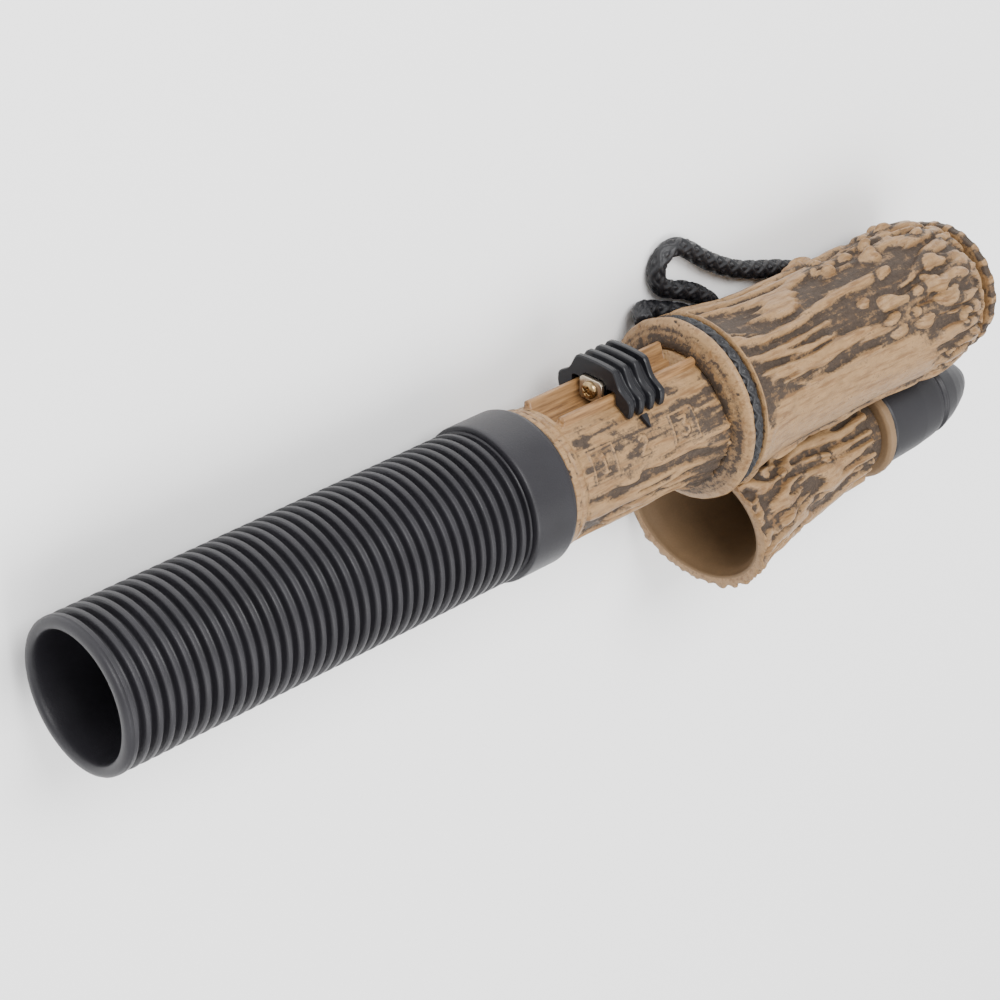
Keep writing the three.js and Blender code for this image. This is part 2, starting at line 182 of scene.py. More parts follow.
def dense(points, step, soften):
    """A polyline resampled at an even step, its corners eased."""
    points = np.asarray(points, float)
    out = []
    for a, b in zip(points[:-1], points[1:]):
        n = max(1, int(np.ceil(np.linalg.norm(b - a) / step)))
        out.extend(a + (b - a) * t for t in np.arange(n) / n)
    out.append(points[-1])
    out = np.array(out)
    for _ in range(soften):
        out[1:-1] = (out[:-2] + 2 * out[1:-1] + out[2:]) / 4
    return out


def curve_through(points, step):
    """A smooth curve through a few outline points, as [station, radius] rows."""
    points = np.asarray(points, float)
    s = np.arange(points[0, 0], points[-1, 0] + step / 2, step)
    slope = np.gradient(points[:, 1], points[:, 0])
    k = np.clip(np.searchsorted(points[:, 0], s) - 1, 0, len(points) - 2)
    x0, x1 = points[k, 0], points[k + 1, 0]
    h = x1 - x0
    t = (s - x0) / h
    r = ((1 + 2 * t) * (1 - t) ** 2 * points[k, 1] + t * (1 - t) ** 2 * h * slope[k]
         + t * t * (3 - 2 * t) * points[k + 1, 1] + t * t * (t - 1) * h * slope[k + 1])
    return np.stack([s, r], -1)


def revolve(name, outer, inner, material, sides, lift=None, place=None):
    """A closed body round the x direction, from [station, radius] rows. outer runs towards
    +x and inner runs back. lift(s, angle, r) gives each outer point's radius and its share
    of dark paint, the moulding's brown and in places painted shade; place(s, y, z) then moves every
    point."""
    rows = np.concatenate([outer, inner])
    angle = np.arange(sides) * math.tau / sides
    s, r = np.repeat(rows[:, :1], sides, 1), np.repeat(rows[:, 1:2], sides, 1)
    a = np.repeat(angle[None, :], len(rows), 0)
    wash_and_shade = np.zeros_like(r)
    if lift is not None:
        n = len(outer)
        r[:n], wash_and_shade[:n] = lift(s[:n], a[:n], r[:n])
    y, z = r * np.cos(a), r * np.sin(a)
    if place is not None:
        s, y, z = place(s, y, z)
    z = np.maximum(z, FLOOR + FLOOR_GAP)
    verts = row(np.stack([s, y, z], -1).reshape(-1, 3))
    return add_mesh(name, verts, [ring_faces(len(rows), sides)], material, wash_and_shade=wash_and_shade)


def outward(thing):
    """Turn a closed mesh's faces outwards."""
    mesh = bmesh.new()
    mesh.from_mesh(thing.data)
    bmesh.ops.recalc_face_normals(mesh, faces=mesh.faces)
    mesh.to_mesh(thing.data)
    mesh.free()


def finish_piece(thing, body, nodes=()):
    """Hand a piece to the frame: the body it rides and the CAD nodes it replaces."""
    outward(thing)
    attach(thing, body)
    if nodes:
        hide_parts(*nodes)
    return thing


# -------- materials
class Nodes:
    """A short way to write a material's node tree."""

    def __init__(self, name):
        self.material = bpy.data.materials.new(name)
        self.material.use_nodes = True
        self.tree = self.material.node_tree
        self.shader = self.tree.nodes["Principled BSDF"]
        self.place = self.add("ShaderNodeTexCoord").outputs["Object"]

    def add(self, kind, **values):
        node = self.tree.nodes.new(kind)
        for key, value in values.items():
            setattr(node, key, value)
        return node

    def link(self, a, b):
        self.tree.links.new(a, b)

    def feed(self, value, socket):
        """Give a socket another node's output, a number or a colour."""
        if isinstance(value, bpy.types.NodeSocket):
            self.link(value, socket)
        else:
            socket.default_value = (*value, 1) if isinstance(value, tuple) else value

    def stretch(self, scale):
        node = self.add("ShaderNodeMapping")
        node.inputs["Scale"].default_value = scale
        self.link(self.place, node.inputs["Vector"])
        return node.outputs["Vector"]

    def noise(self, scale, detail, rough, vector=None):
        node = self.add("ShaderNodeTexNoise")
        node.inputs["Scale"].default_value = scale
        node.inputs["Detail"].default_value = detail
        node.inputs["Roughness"].default_value = rough
        self.link(vector or self.place, node.inputs["Vector"])
        return node.outputs["Fac"]

    def ramp(self, value, *stops):
        node = self.add("ShaderNodeValToRGB")
        elements = node.color_ramp.elements
        while len(elements) < len(stops):
            elements.new(0.5)
        for element, (at, colour) in zip(elements, stops):
            element.position, element.color = at, (*colour, 1)
        self.link(value, node.inputs["Fac"])
        return node.outputs["Color"]

    def mix(self, factor, a, b):
        node = self.add("ShaderNodeMix", data_type="RGBA")
        for value, socket in ((factor, 0), (a, 6), (b, 7)):
            self.feed(value, node.inputs[socket])
        return node.outputs[2]

    def math(self, operation, a, b):
        node = self.add("ShaderNodeMath", operation=operation)
        for value, socket in zip((a, b), node.inputs):
            self.feed(value, socket)
        return node.outputs[0]

    def bump(self, height, strength, distance):
        node = self.add("ShaderNodeBump")
        node.inputs["Strength"].default_value = strength
        node.inputs["Distance"].default_value = distance
        self.link(height, node.inputs["Height"])
        self.link(node.outputs["Normal"], self.shader.inputs["Normal"])

    def set(self, **values):
        names = {"colour": "Base Color", "roughness": "Roughness", "metallic": "Metallic",
                 "specular": "Specular IOR Level"}
        for key, value in values.items():
            self.feed(value, self.shader.inputs[names[key]])
        return self.material


def shades(base, *factors):
    """One colour, darker or lighter by each factor."""
    return [tuple(channel * factor for channel in base) for factor in factors]


def rough_range(n, value, low, high):
    """A roughness from low to high as value goes from 0 to 1."""
    return n.math("ADD", n.math("MULTIPLY", value, high - low), low)


BARK_TAN, BARK_DEEP = (0.262, 0.158, 0.074), (0.038, 0.026, 0.018)
AMBER_SHARE = (0.62, 0.55, 0.5)


def bark_material():
    """Tan plastic, dark brown where the mesh's dark-paint value is high: its own brown in the bark's
    grooves, and painted shade in some recesses and next to other parts.
    """
    n = Nodes("bark_moulding")
    wash_and_shade = n.add("ShaderNodeAttribute", attribute_name="wash_and_shade").outputs["Fac"]
    streak = n.noise(1.0, 7, 0.66, n.stretch((120, 900, 900)))
    mottle = n.noise(420, 6, 0.62)
    speck = n.noise(1500, 4, 0.66)
    edge = n.math("ADD", n.math("MULTIPLY", streak, 2.2), n.math("MULTIPLY", mottle, 2.0))
    edge = n.math("SUBTRACT", n.math("ADD", edge, n.math("MULTIPLY", speck, 1.4)), 2.8)
    mask = n.ramp(n.math("ADD", wash_and_shade, edge), (0.3, (0, 0, 0)), (0.86, (1, 1, 1)))
    pale = n.ramp(mottle, *zip((0.3, 0.7), shades(BARK_TAN, 0.8, 1.2)))
    amber = tuple(channel * share for channel, share in zip(BARK_TAN, AMBER_SHARE))
    lit = n.mix(n.ramp(streak, (0.36, (1, 1, 1)), (0.52, (0, 0, 0))), pale, amber)
    dark = n.ramp(speck, *zip((0.3, 0.72), shades(BARK_DEEP, 0.65, 1.6)))
    n.bump(n.math("ADD", streak, n.math("MULTIPLY", speck, 0.7)), 0.5, 0.0003)
    return n.set(colour=n.mix(mask, lit, dark), roughness=rough_range(n, mask, 0.38, 0.6),
                 specular=0.24)


def plain_material(name, base):
    """The smooth moulding inside the bell, with a faint cloud and speckle."""
    n = Nodes(name)
    cloud, speck = n.noise(70, 4, 0.5), n.noise(2400, 3, 0.6)
    mixed = n.math("ADD", n.math("MULTIPLY", cloud, 0.7), n.math("MULTIPLY", speck, 0.3))
    tone = n.ramp(mixed, *zip((0.35, 0.65), shades(base, 0.86, 1.12)))
    n.bump(speck, 0.2, 0.0001)
    return n.set(colour=tone, roughness=0.55, specular=0.2)


def rubber_material(name, base, grain, roughness, strength=0.25):
    """Matt rubber or plastic with a fine grain of the given scale and bump strength."""
    n = Nodes(name)
    fine, cloud = n.noise(grain, 4, 0.6), n.noise(60, 3, 0.5)
    tone = n.ramp(cloud, *zip((0.3, 0.7), shades(base, 0.8, 1.25)))
    n.bump(fine, strength, 0.00012)
    return n.set(colour=tone, roughness=rough_range(n, cloud, roughness - 0.05, roughness + 0.07),
                 specular=0.33)


def metal_material(name, base, roughness):
    """Metal with fine brushing and a faint tarnish."""
    n = Nodes(name)
    brushed = n.noise(1.0, 3, 0.5, n.stretch((900, 5000, 900)))
    tone = n.ramp(n.noise(700, 3, 0.6), *zip((0.3, 0.7), shades(base, 0.8, 1)))
    n.bump(brushed, 0.12, 0.00005)
    return n.set(colour=tone, metallic=1.0,
                 roughness=rough_range(n, brushed, roughness - 0.06, roughness + 0.12))


def braid_material():
    """Black cord with a fine fibre."""
    n = Nodes("braided_cord")
    fibre = n.noise(5200, 3, 0.7)
    tone = n.ramp(fibre, (0.3, (0.003, 0.003, 0.004)), (0.75, (0.016, 0.016, 0.019)))
    n.bump(fibre, 0.5, 0.00012)
    return n.set(colour=tone, roughness=0.4, specular=0.4)


def channel_material():
    """The warmer, less washed plastic of the slide channel and its rails."""
    n = Nodes("channel_moulding")
    streak = n.noise(1.0, 5, 0.6, n.stretch((90, 1300, 1300)))
    tone = n.ramp(streak, (0.3, (0.07, 0.032, 0.012)), (0.5, (0.21, 0.11, 0.043)),
                  (0.72, (0.31, 0.18, 0.08)))
    n.bump(streak, 0.25, 0.00012)
    return n.set(colour=tone, roughness=0.38, specular=0.3)


BARK_LOOK = bark_material()
SMOOTH_LOOK = plain_material("smooth_moulding", (0.165, 0.104, 0.055))
RUBBER_LOOK = rubber_material("hose_rubber", (0.0125, 0.0118, 0.0148), 3000, 0.42, 0.5)
CAP_LOOK = rubber_material("cap_rubber", (0.0135, 0.013, 0.0155), 2600, 0.46)
SLIDE_LOOK = rubber_material("slide_plastic", (0.006, 0.006, 0.008), 3600, 0.36, 0.15)
INNER_LOOK = rubber_material("inner_moulding", (0.05, 0.05, 0.052), 3000, 0.5)
NICKEL_LOOK = metal_material("nickel_plate", (0.55, 0.47, 0.37), 0.3)
BRASS_LOOK = metal_material("brass", (0.36, 0.25, 0.13), 0.24)
FILM_LOOK = rubber_material("reed_film", (0.6, 0.55, 0.42), 1500, 0.25, 0.05)
CORD_LOOK = braid_material()


# -------- lanyard
CORD_THICK, PLAITS = 4.2, 3
CORD_GAP = 0.05
LOWEST = FLOOR + CORD_THICK / 2 + CORD_GAP


def on_floor(*places):
    """Route points with the cord resting on the floor."""
    return [(s, y, LOWEST) for s, y in places]


LEAD = [(165.3, 14.7, -14.7), (165.6, 15.7, -16), (167, 16.2, -17.8)] + on_floor(
    (170, 14.8), (175, 12.7), (180, 10.9), (184, 8.7), (187.5, 5.3), (189.8, 0), (190.8, -8),
    (192.4, -17), (195.4, -26), (200.8, -32.8), (208.6, -35.4))
BIGHT = [(209.6, -14.4, LOWEST + 2.4), (204.6, -12.9, LOWEST + 0.9)] + on_floor(
    (200.6, -9.8), (198, -5), (196.6, 0), (194.5, 5.5), (191, 9.9), (186, 13.6), (181, 16),
    (177.4, 16.9), (174.2, 18.4), (172.4, 21.5), (172.9, 25.1), (176, 27.5), (180.2, 27),
    (184, 24.2), (188.5, 20.8), (194, 17.5), (200, 14.5), (208, 12), (215.5, 9.9), (222, 7),
    (229, 5.5), (241, 5.5))
HANK_FROM, HANK_TO = station("lanyard_hank")
HANK_MIDDLE = -25.0
OUTER_FOLD, INNER_FOLD = 10.4, 6.2
UPPER = LOWEST + 3.65
HANK_EXIT = [(230, -14.6, UPPER), (217, -14.6, UPPER)]


def fold(half, first, last, height):
    """The two half circles of one turn of the hank, at its +x and then its -x end."""
    arc = np.linspace(-math.pi / 2, math.pi / 2, 9)
    right = [(last - half + half * math.cos(t), HANK_MIDDLE + half * math.sin(t), height)
             for t in arc]
    left = [(first + half - half * math.cos(t), HANK_MIDDLE - half * math.sin(t), height)
            for t in arc]
    return right, left


def lanyard_route():
    """The cord's middle line: from the groove down to the floor, round the hank's turns in
    two layers, and back out under the shell to the knot."""
    first, last = HANK_FROM + CORD_THICK / 2, HANK_TO - CORD_THICK / 2
    points = list(LEAD)
    turns = [(OUTER_FOLD, LOWEST), (INNER_FOLD, LOWEST), (INNER_FOLD, UPPER), (OUTER_FOLD, UPPER)]
    for k, (half, height) in enumerate(turns):
        shrink = OUTER_FOLD - half
        right, left = fold(half, first + shrink, last - shrink, height)
        points += right
        if k < len(turns) - 1:
            points += left[:-1]
    return even_line(points + HANK_EXIT + BIGHT, 0.45)


def even_line(points, step, ease=45):
    """A line through points, its corners eased, resampled at an even step."""
    def spread(line, gap):
        run = np.concatenate([[0], np.cumsum(np.linalg.norm(np.diff(line, axis=0), axis=1))])
        at = np.linspace(0, run[-1], int(run[-1] / gap) + 1)
        return np.stack([np.interp(at, run, line[:, k]) for k in range(3)], -1)
    line = spread(np.asarray(points, float), step)
    for _ in range(ease):
        line[1:-1] = (line[:-2] + 2 * line[1:-1] + line[2:]) / 4
    return spread(line, step)


LAY_LENGTH = 1.15
BRAID_CORE, BRAID_RISE = 0.74, 0.3


def braided_tube(name, line, thick, sides, closed=False, level=(0, 0, 1.0)):
    """A round braid: two sets of strands cross over each other along a line. level is a
    direction that the line never takes."""
    ahead = np.roll(line, -1, 0) - np.roll(line, 1, 0) if closed else np.gradient(line, axis=0)
    tangent = unit(ahead)
    side = unit(np.cross(tangent, level))
    top = np.cross(side, tangent)
    a = np.arange(sides)[None, :] * math.tau / sides
    steps = np.arange(len(line))
    length = np.linalg.norm(line[1] - line[0])
    lay = steps[:, None] * length / (thick * LAY_LENGTH) * math.tau / PLAITS
    if closed:
        turns = round(len(line) * length / (thick * LAY_LENGTH))
        lay = steps[:, None] / len(line) * turns * math.tau / PLAITS
    one = np.cos(PLAITS * (a + lay))
    two = np.cos(PLAITS * (a - lay))
    over = np.sin(PLAITS * a) * np.sin(PLAITS * lay)
    height = np.where(over > 0, np.abs(one), np.abs(two)) ** 0.7
    r = thick / 2 * (BRAID_CORE + BRAID_RISE * height)
    body = (line[:, None, :] + side[:, None, :] * (r * np.cos(a))[..., None]
            + top[:, None, :] * (r * np.sin(a))[..., None])
    n = len(line)
    verts = body.reshape(-1, 3)
    faces = [ring_faces(n, sides, closed)]
    if not closed:
        verts = np.concatenate([verts, line[:1], line[-1:]])
        j = np.arange(sides)
        faces.append(np.stack([(j + 1) % sides, j, np.full(sides, n * sides)], -1))
        last = (n - 1) * sides
        faces.append(np.stack([last + j, last + (j + 1) % sides,
                               np.full(sides, n * sides + 1)], -1))
    return add_mesh(name, row(verts), faces, CORD_LOOK)


def lanyard():
    line = lanyard_route()
    cord = braided_tube("lanyard_cord", line, CORD_THICK, 54)
    finish_piece(cord, "call", ("lanyard_lead", "lanyard_bight", "lanyard_hank"))
    knot = end_knot(line[-1])
    tie = hank_tie()


KNOT_SIZE, KNOT_THICK = 0.8, 1.9
KNOT_SHARES = (0.9, 1, 0.35)


def end_knot(centre):
    """A small overhand knot, as a flattened trefoil, round the cord's far end."""
    t = np.linspace(0, math.tau, 160, endpoint=False)
    shape = np.stack([np.sin(3 * t), np.sin(t) + 2 * np.sin(2 * t),
                      np.cos(t) - 2 * np.cos(2 * t)], -1) * KNOT_SHARES
    knot = braided_tube("lanyard_knot", centre + shape * KNOT_SIZE, KNOT_THICK, 16, closed=True)
    return finish_piece(knot, "call")


TIE_TURNS, TIE_RADIUS, TIE_SQUARENESS = 3, 0.55, 0.62


def hank_tie():
    """Three turns of thin cord round the hank's middle, close over its rounded edges."""
    low, high = station("lanyard_tie")
    width, height = OUTER_FOLD + CORD_THICK / 2, (UPPER - LOWEST + CORD_THICK) / 2
    t = np.linspace(0, TIE_TURNS * math.tau, TIE_TURNS * 72)
    y = np.sign(np.cos(t)) * np.abs(np.cos(t)) ** TIE_SQUARENESS * (width - 0.2)
    z = np.sign(np.sin(t)) * np.abs(np.sin(t)) ** TIE_SQUARENESS * (height + CORD_GAP)
    s = low + TIE_RADIUS + (high - low - 2 * TIE_RADIUS) * t / t[-1]
    line = np.stack([s, y + HANK_MIDDLE, z + LOWEST + (UPPER - LOWEST) / 2], -1)
    line[:, 2] = np.maximum(line[:, 2], FLOOR + TIE_RADIUS + CORD_GAP)
    tie = braided_tube("lanyard_wrap", even_line(line, 0.4, 2), TIE_RADIUS * 2, 12,
                       level=(1.0, 0, 0))
    return finish_piece(tie, "call", ("lanyard_tie",))


LOOP_STEPS = 420


def groove_cord():
    """The turn of cord that lies in the groove behind the flange."""
    low, high = station("lanyard_loop")
    ring_low, ring_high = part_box("lanyard_loop")
    thick = high - low
    major = (ring_high[1] - ring_low[1]) / MM / 2 - thick / 2
    t = np.arange(LOOP_STEPS) * math.tau / LOOP_STEPS
    line = np.stack([np.full_like(t, (low + high) / 2), major * np.cos(t), major * np.sin(t)], -1)
    loop = braided_tube("groove_cord", line, thick, 36, closed=True, level=(1.0, 0, 0))
    finish_piece(loop, "call", ("lanyard_loop",))


lanyard()
groove_cord()


# -------- hose
RIB_PITCH, FIRST_GROOVE, GROOVE_DEPTH, RIB_CROWN = 2.763, 3.25, 1.6, 0.3
GROOVE_HALF, GROOVE_EDGE = 0.5, 0.88
HOSE_RIM, HOSE_BORE, HOSE_TAPER, LIP_END = 16.0, 13.3, 0.4, 1.4
SHOULDER, CUFF_RADIUS, CUFF_BORE, CUFF_END = 101.4, 17.1, 14.75, 113.5


def hose():
    """The ribbed hose with its smooth cuff; HOSE_TAPER is its growth in mm over 100 mm."""
    s = np.arange(LIP_END, SHOULDER - 0.5, 0.14)
    from_groove = np.abs((s - FIRST_GROOVE + RIB_PITCH / 2) % RIB_PITCH - RIB_PITCH / 2)
    ribbed = s > FIRST_GROOVE - RIB_PITCH / 2
    cut = GROOVE_DEPTH * (1 - fade(GROOVE_HALF, GROOVE_EDGE, from_groove))
    crown = RIB_CROWN * (1 - (from_groove / (RIB_PITCH / 2))) ** 2
    r = HOSE_RIM + HOSE_TAPER * s / 100 - (cut + crown) * ribbed
    lip = [(0.0, HOSE_RIM - 1.5), (0.05, HOSE_RIM - 0.9), (0.35, HOSE_RIM - 0.35),
           (0.8, HOSE_RIM - 0.08), (LIP_END, HOSE_RIM)]
    cuff = dense([(SHOULDER - 0.4, HOSE_RIM), (SHOULDER, HOSE_RIM - 0.6),
                  (SHOULDER + 0.35, CUFF_RADIUS - 0.1), (SHOULDER + 1, CUFF_RADIUS),
                  (CUFF_END - 1.3, CUFF_RADIUS), (CUFF_END - 0.2, CUFF_RADIUS - 0.5),
                  (CUFF_END, 15.4), (CUFF_END, CUFF_BORE)], 0.2, 2)
    outer = np.concatenate([lip, np.stack([s, r], -1), cuff])
    inner = dense([(CUFF_END - 0.3, CUFF_BORE), (98.6, 14.7), (98.4, HOSE_BORE), (1.2, HOSE_BORE),
                   (0.5, HOSE_BORE + 0.1), (0.1, HOSE_BORE + 0.5)], 1.0, 1)
    body = revolve("ribbed_hose", outer, inner, RUBBER_LOOK, 160)
    finish_piece(body, "hose", ("hose",))


hose()


# -------- raised marks
def near_stroke(u, v, strokes):
    """Distance from each (u, v) place to the nearest of some straight strokes."""
    best = np.full(np.broadcast(u, v).shape, np.inf)
    for (u0, v0), (u1, v1) in strokes:
        du, dv = u1 - u0, v1 - v0
        t = np.clip(((u - u0) * du + (v - v0) * dv) / (du * du + dv * dv), 0, 1)
        best = np.minimum(best, np.hypot(u - u0 - t * du, v - v0 - t * dv))
    return best


# The numerals 1, 2 and 3 as strokes, u along the barrel and v round it, in mm before MARK_SCALE.
NUMERALS = [
    [((-1.0, -2.4), (1.0, -2.4)), ((0, -2.4), (0, 2.4)), ((0, 2.4), (-0.9, 1.5))],
    [((1.3, -2.4), (-1.4, -2.4)), ((-1.4, -2.4), (1.2, 0.6)), ((1.2, 0.6), (1.0, 2.0)),
     ((1.0, 2.0), (-0.2, 2.5)), ((-0.2, 2.5), (-1.3, 1.7))],
    [((-1.3, 2.4), (1.2, 2.4)), ((1.2, 2.4), (-0.1, 0.5)), ((-0.1, 0.5), (1.2, -0.4)),
     ((1.2, -0.4), (1.1, -1.8)), ((1.1, -1.8), (-0.1, -2.5)), ((-0.1, -2.5), (-1.3, -1.9))],
]
NUMERAL_STATIONS = (124.6, 136.2, 148.4)
NUMERAL_ANGLE = math.radians(64)
FRAMED = (0, 2)
FRAME_HALF, MARK_SCALE, MARK_RISE = 3.3, 0.8, 0.36


def square(half):
    corners = [(-half, -half), (half, -half), (half, half), (-half, half)]
    return list(zip(corners, corners[1:] + corners[:1]))


# -------- front barrel
BARREL_RADIUS, BARREL_BORE, LIP_FROM, BARREL_FROM, BARREL_TO = 14.6, 9.2, 113.8, 118.5, 159.4
CHANNEL_FROM, CHANNEL_FLOOR, NUT_GROOVE_FLOOR, RAIL_TOP = 119.5, 12.1, 9.6, 16.3
# Degrees round the barrel from the middle of the channel.
NUT_GROOVE_EDGE, CHANNEL_EDGE, RAIL_MIDDLE, RAIL_HALF = 6.4, 15.0, 18.5, 3.5
WING_EDGE, WING_RELIEF = (45, 51), 0.1
LOBES = 24


def signed_angle(a):
    return (a + math.pi) % math.tau - math.pi


def number_marks(s, turn, y, z, up, wash_and_shade):
    """Raise the numerals and the frames round two of them, with grime in and about them."""
    v = (NUMERAL_ANGLE - turn) * BARREL_RADIUS
    grime = 0.5 + 0.9 * FINE(s / 2.5, y / 2.5, z / 2.5)
    for k, (at, strokes) in enumerate(zip(NUMERAL_STATIONS, NUMERALS)):
        u = s - at
        near = near_stroke(u / MARK_SCALE, v / MARK_SCALE, strokes) * MARK_SCALE
        mark = 1 - fade(0.18, 0.45, near)
        halo = 0.8 * (1 - fade(0.5, 1.3, near))
        if k in FRAMED:
            rim = near_stroke(u, v, square(FRAME_HALF))
            within = np.maximum(np.abs(u), np.abs(v)) < FRAME_HALF
            mark = np.maximum(mark, 0.8 * (1 - fade(0.12, 0.35, rim)))
            halo = np.maximum(halo, 0.8 * (1 - fade(0.3, 1.0, rim)))
            halo = np.maximum(halo, within * np.clip(0.35 + grime, 0, 0.85))
        up = up + MARK_RISE * mark
        wash_and_shade = np.maximum(wash_and_shade, 0.9 * halo) * (1 - 0.75 * mark)
    return up, wash_and_shade


def sink_channel(s, turn, r, wash_and_shade):
    """Sink the slide's channel, with the nut's groove in its floor, and raise its rails."""
    from_slot = np.degrees(np.abs(turn))
    in_channel = fade(CHANNEL_FROM, CHANNEL_FROM + 0.5, s) * (s < BARREL_TO)
    floor = CHANNEL_FLOOR / np.cos(np.minimum(np.abs(turn), 0.5))
    floor = np.where(from_slot < NUT_GROOVE_EDGE, NUT_GROOVE_FLOOR, floor)
    inside = in_channel * (1 - fade(CHANNEL_EDGE - 0.6, CHANNEL_EDGE + 0.4, from_slot))
    rail_up = (in_channel * fade(CHANNEL_EDGE - 0.4, CHANNEL_EDGE + 0.6, from_slot)
               * (1 - fade(21.4, 23.4, from_slot)))
    rail = RAIL_TOP - 0.35 * ((from_slot - RAIL_MIDDLE) / RAIL_HALF) ** 2
    r = r * (1 - rail_up) + np.maximum(rail, r) * rail_up
    r = r * (1 - inside) + floor * inside
    return r, np.clip(wash_and_shade, 0, 1) * (1 - np.maximum(inside, rail_up))


def front_lift(s, a, r):
    """Bark all round but for the numbered panel, creased lobes before the flange, and the
    channel. The relief stays low where the saddle's wings sweep over it."""
    turn = signed_angle(a)
    degrees = np.degrees(turn)
    from_slot = np.abs(degrees)
    y, z = r * np.cos(a), r * np.sin(a)
    on_barrel = fade(BARREL_FROM - 0.2, BARREL_FROM + 1.0, s)
    relief, crown = bark(s, y, z, 18, 1.9)
    panel = fade(25, 30, degrees) * (1 - fade(80, 86, degrees + 0.35 * (s - 138)))
    rough = on_barrel * (1 - panel) * fade(25, 36, from_slot)
    creases = fade(150, 156, s) * fade(40, 60, from_slot)
    flare = fade(143, 158.4, s) ** 1.6 * fade(48, 80, from_slot)
    lobes = 0.5 + 0.5 * np.cos(turn * LOBES + 3 * FINE(0.2, y / 6, z / 6))
    up = rough * (0.85 * relief + 0.3 * crown - 0.45) + flare * (1.3 + 0.5 * lobes)
    wash_and_shade = rough * (1 - relief)
    scratch = FINE(s / 26, y / 0.8, z / 0.8)
    up = up + on_barrel * panel * (0.05 * FINE(s / 5, y / 2.4, z / 2.4) + 0.06 * scratch)
    patches = FINE(s / 8 + 3, y / 2.6, z / 2.6)
    smear = fade(-0.2, 0.3, patches) + 0.6 * fade(0.0, 0.4, scratch)
    # Smudges and scratches on the panel, darkened further near the front lip, under the saddle's wings
    # by the rails and before the flange: that extra darkness is painted shade.
    shade_by_lip = 1 - fade(120, 133, s)
    shade_by_rail = (1 - fade(36, 54, degrees)) * fade(138, 145, s)
    shade_by_rail = np.maximum(shade_by_rail, fade(149, 156, s))
    smudge_and_shade = np.clip((0.5 + 0.4 * np.maximum(shade_by_lip, shade_by_rail)) * smear, 0, 0.95)
    wash_and_shade = wash_and_shade + on_barrel * panel * smudge_and_shade
    wash_and_shade = np.maximum(wash_and_shade, 0.9 * creases * (1 - fade(0.3, 0.6, lobes)))
    on_lip = (s < BARREL_FROM + 0.6) * (s > LIP_FROM)
    wash_and_shade = np.maximum(wash_and_shade, 0.7 * on_lip * fade(0.15, 0.5, FINE(s, y / 3, z / 3)))
    up, wash_and_shade = number_marks(s, turn, y, z, up, wash_and_shade)
    under_wing = 1 - fade(*WING_EDGE, from_slot)
    up = up * (1 - under_wing) + np.minimum(up, WING_RELIEF) * under_wing
    return sink_channel(s, turn, r + up, wash_and_shade)


def front_barrel():
    outer = dense([(98.8, 13.4), (99.6, 14.4), (LIP_FROM, 14.4), (LIP_FROM, 15.0),
                   (LIP_FROM + 0.4, 15.8), (LIP_FROM + 1.7, 15.85), (LIP_FROM + 2.2, 15.1),
                   (LIP_FROM + 2.7, 15.5), (LIP_FROM + 3.7, 15.35), (BARREL_FROM, BARREL_RADIUS),
                   (BARREL_TO, BARREL_RADIUS), (BARREL_TO + 0.3, 14.2), (172, 14.2)], 0.25, 2)
    inner = dense([(172, BARREL_BORE), (98.8, BARREL_BORE)], 2.0, 0)
    body = revolve("slotted_barrel", outer, inner, BARK_LOOK, 420, front_lift)
    paint_channel(body)
    finish_piece(body, "call", ("front_barrel",))


RAIL_OUTSIDE = 22.8


def paint_channel(body):
    """The channel and its rails take the warmer moulding's material."""
    body.data.materials.append(channel_material())
    mesh = body.data
    centre = np.empty(len(mesh.polygons) * 3, np.float32)
    mesh.polygons.foreach_get("center", centre)
    place = (centre.reshape(-1, 3) - ORIGIN) / MM
    turn = np.degrees(np.abs(np.arctan2(place[:, 2], place[:, 1])))
    warm = (turn < RAIL_OUTSIDE) & (place[:, 0] > CHANNEL_FROM) & (place[:, 0] < BARREL_TO)
    mesh.polygons.foreach_set("material_index", warm.astype(np.int32))


front_barrel()


# -------- rear barrel
SHELL_OUTLINE = [(167.2, 20.3), (169, 20.1), (172, 19.6), (176, 19.1), (183, 18.6), (200, 18.4),
                 (212, 18.4), (222, 18.8), (232, 19.2), (239, 18.8), (244, 17.9), (247, 16.5),
                 (249, 14.9), (250.4, 13.9)]
UNDERSIDE = [(168, 1), (176, 0.985), (187, 0.875), (246, 0.875), (250.4, 0.96)]
CHAMBER_SIDE = [(172, 1), (176, 0.97), (189, 0.95), (203, 0.92), (214, 0.89), (222, 0.88),
                (233, 0.85), (243, 0.8), (250.4, 0.85)]
SHELL_FROM, SHELL_TO = 167.4, 250.4
GROOVE_FROM, GROOVE_TO = 163.5, 167.0
PANEL_FROM, PANEL_TO = 170.0, 238.0
PANEL_LOW, PANEL_HIGH = 73.0, 128.0
# Scattered beads: radius, seed, count, then spans of station, of degrees and of size.
SHELL_KNOBS = [(18.4, 5, 34, ((205, 246), (-60, 74), (1.0, 2.0))),
               (18, 12, 26, ((186, 247), (-205, -125), (1.0, 1.9))),
               (18, 3, 9, ((224, 247), (75, 140), (1.0, 1.8)))]


def table(pairs, s):
    """The value at station s, straight between the given (station, value) pairs."""
    x, v = zip(*pairs)
    return np.interp(s, x, v)


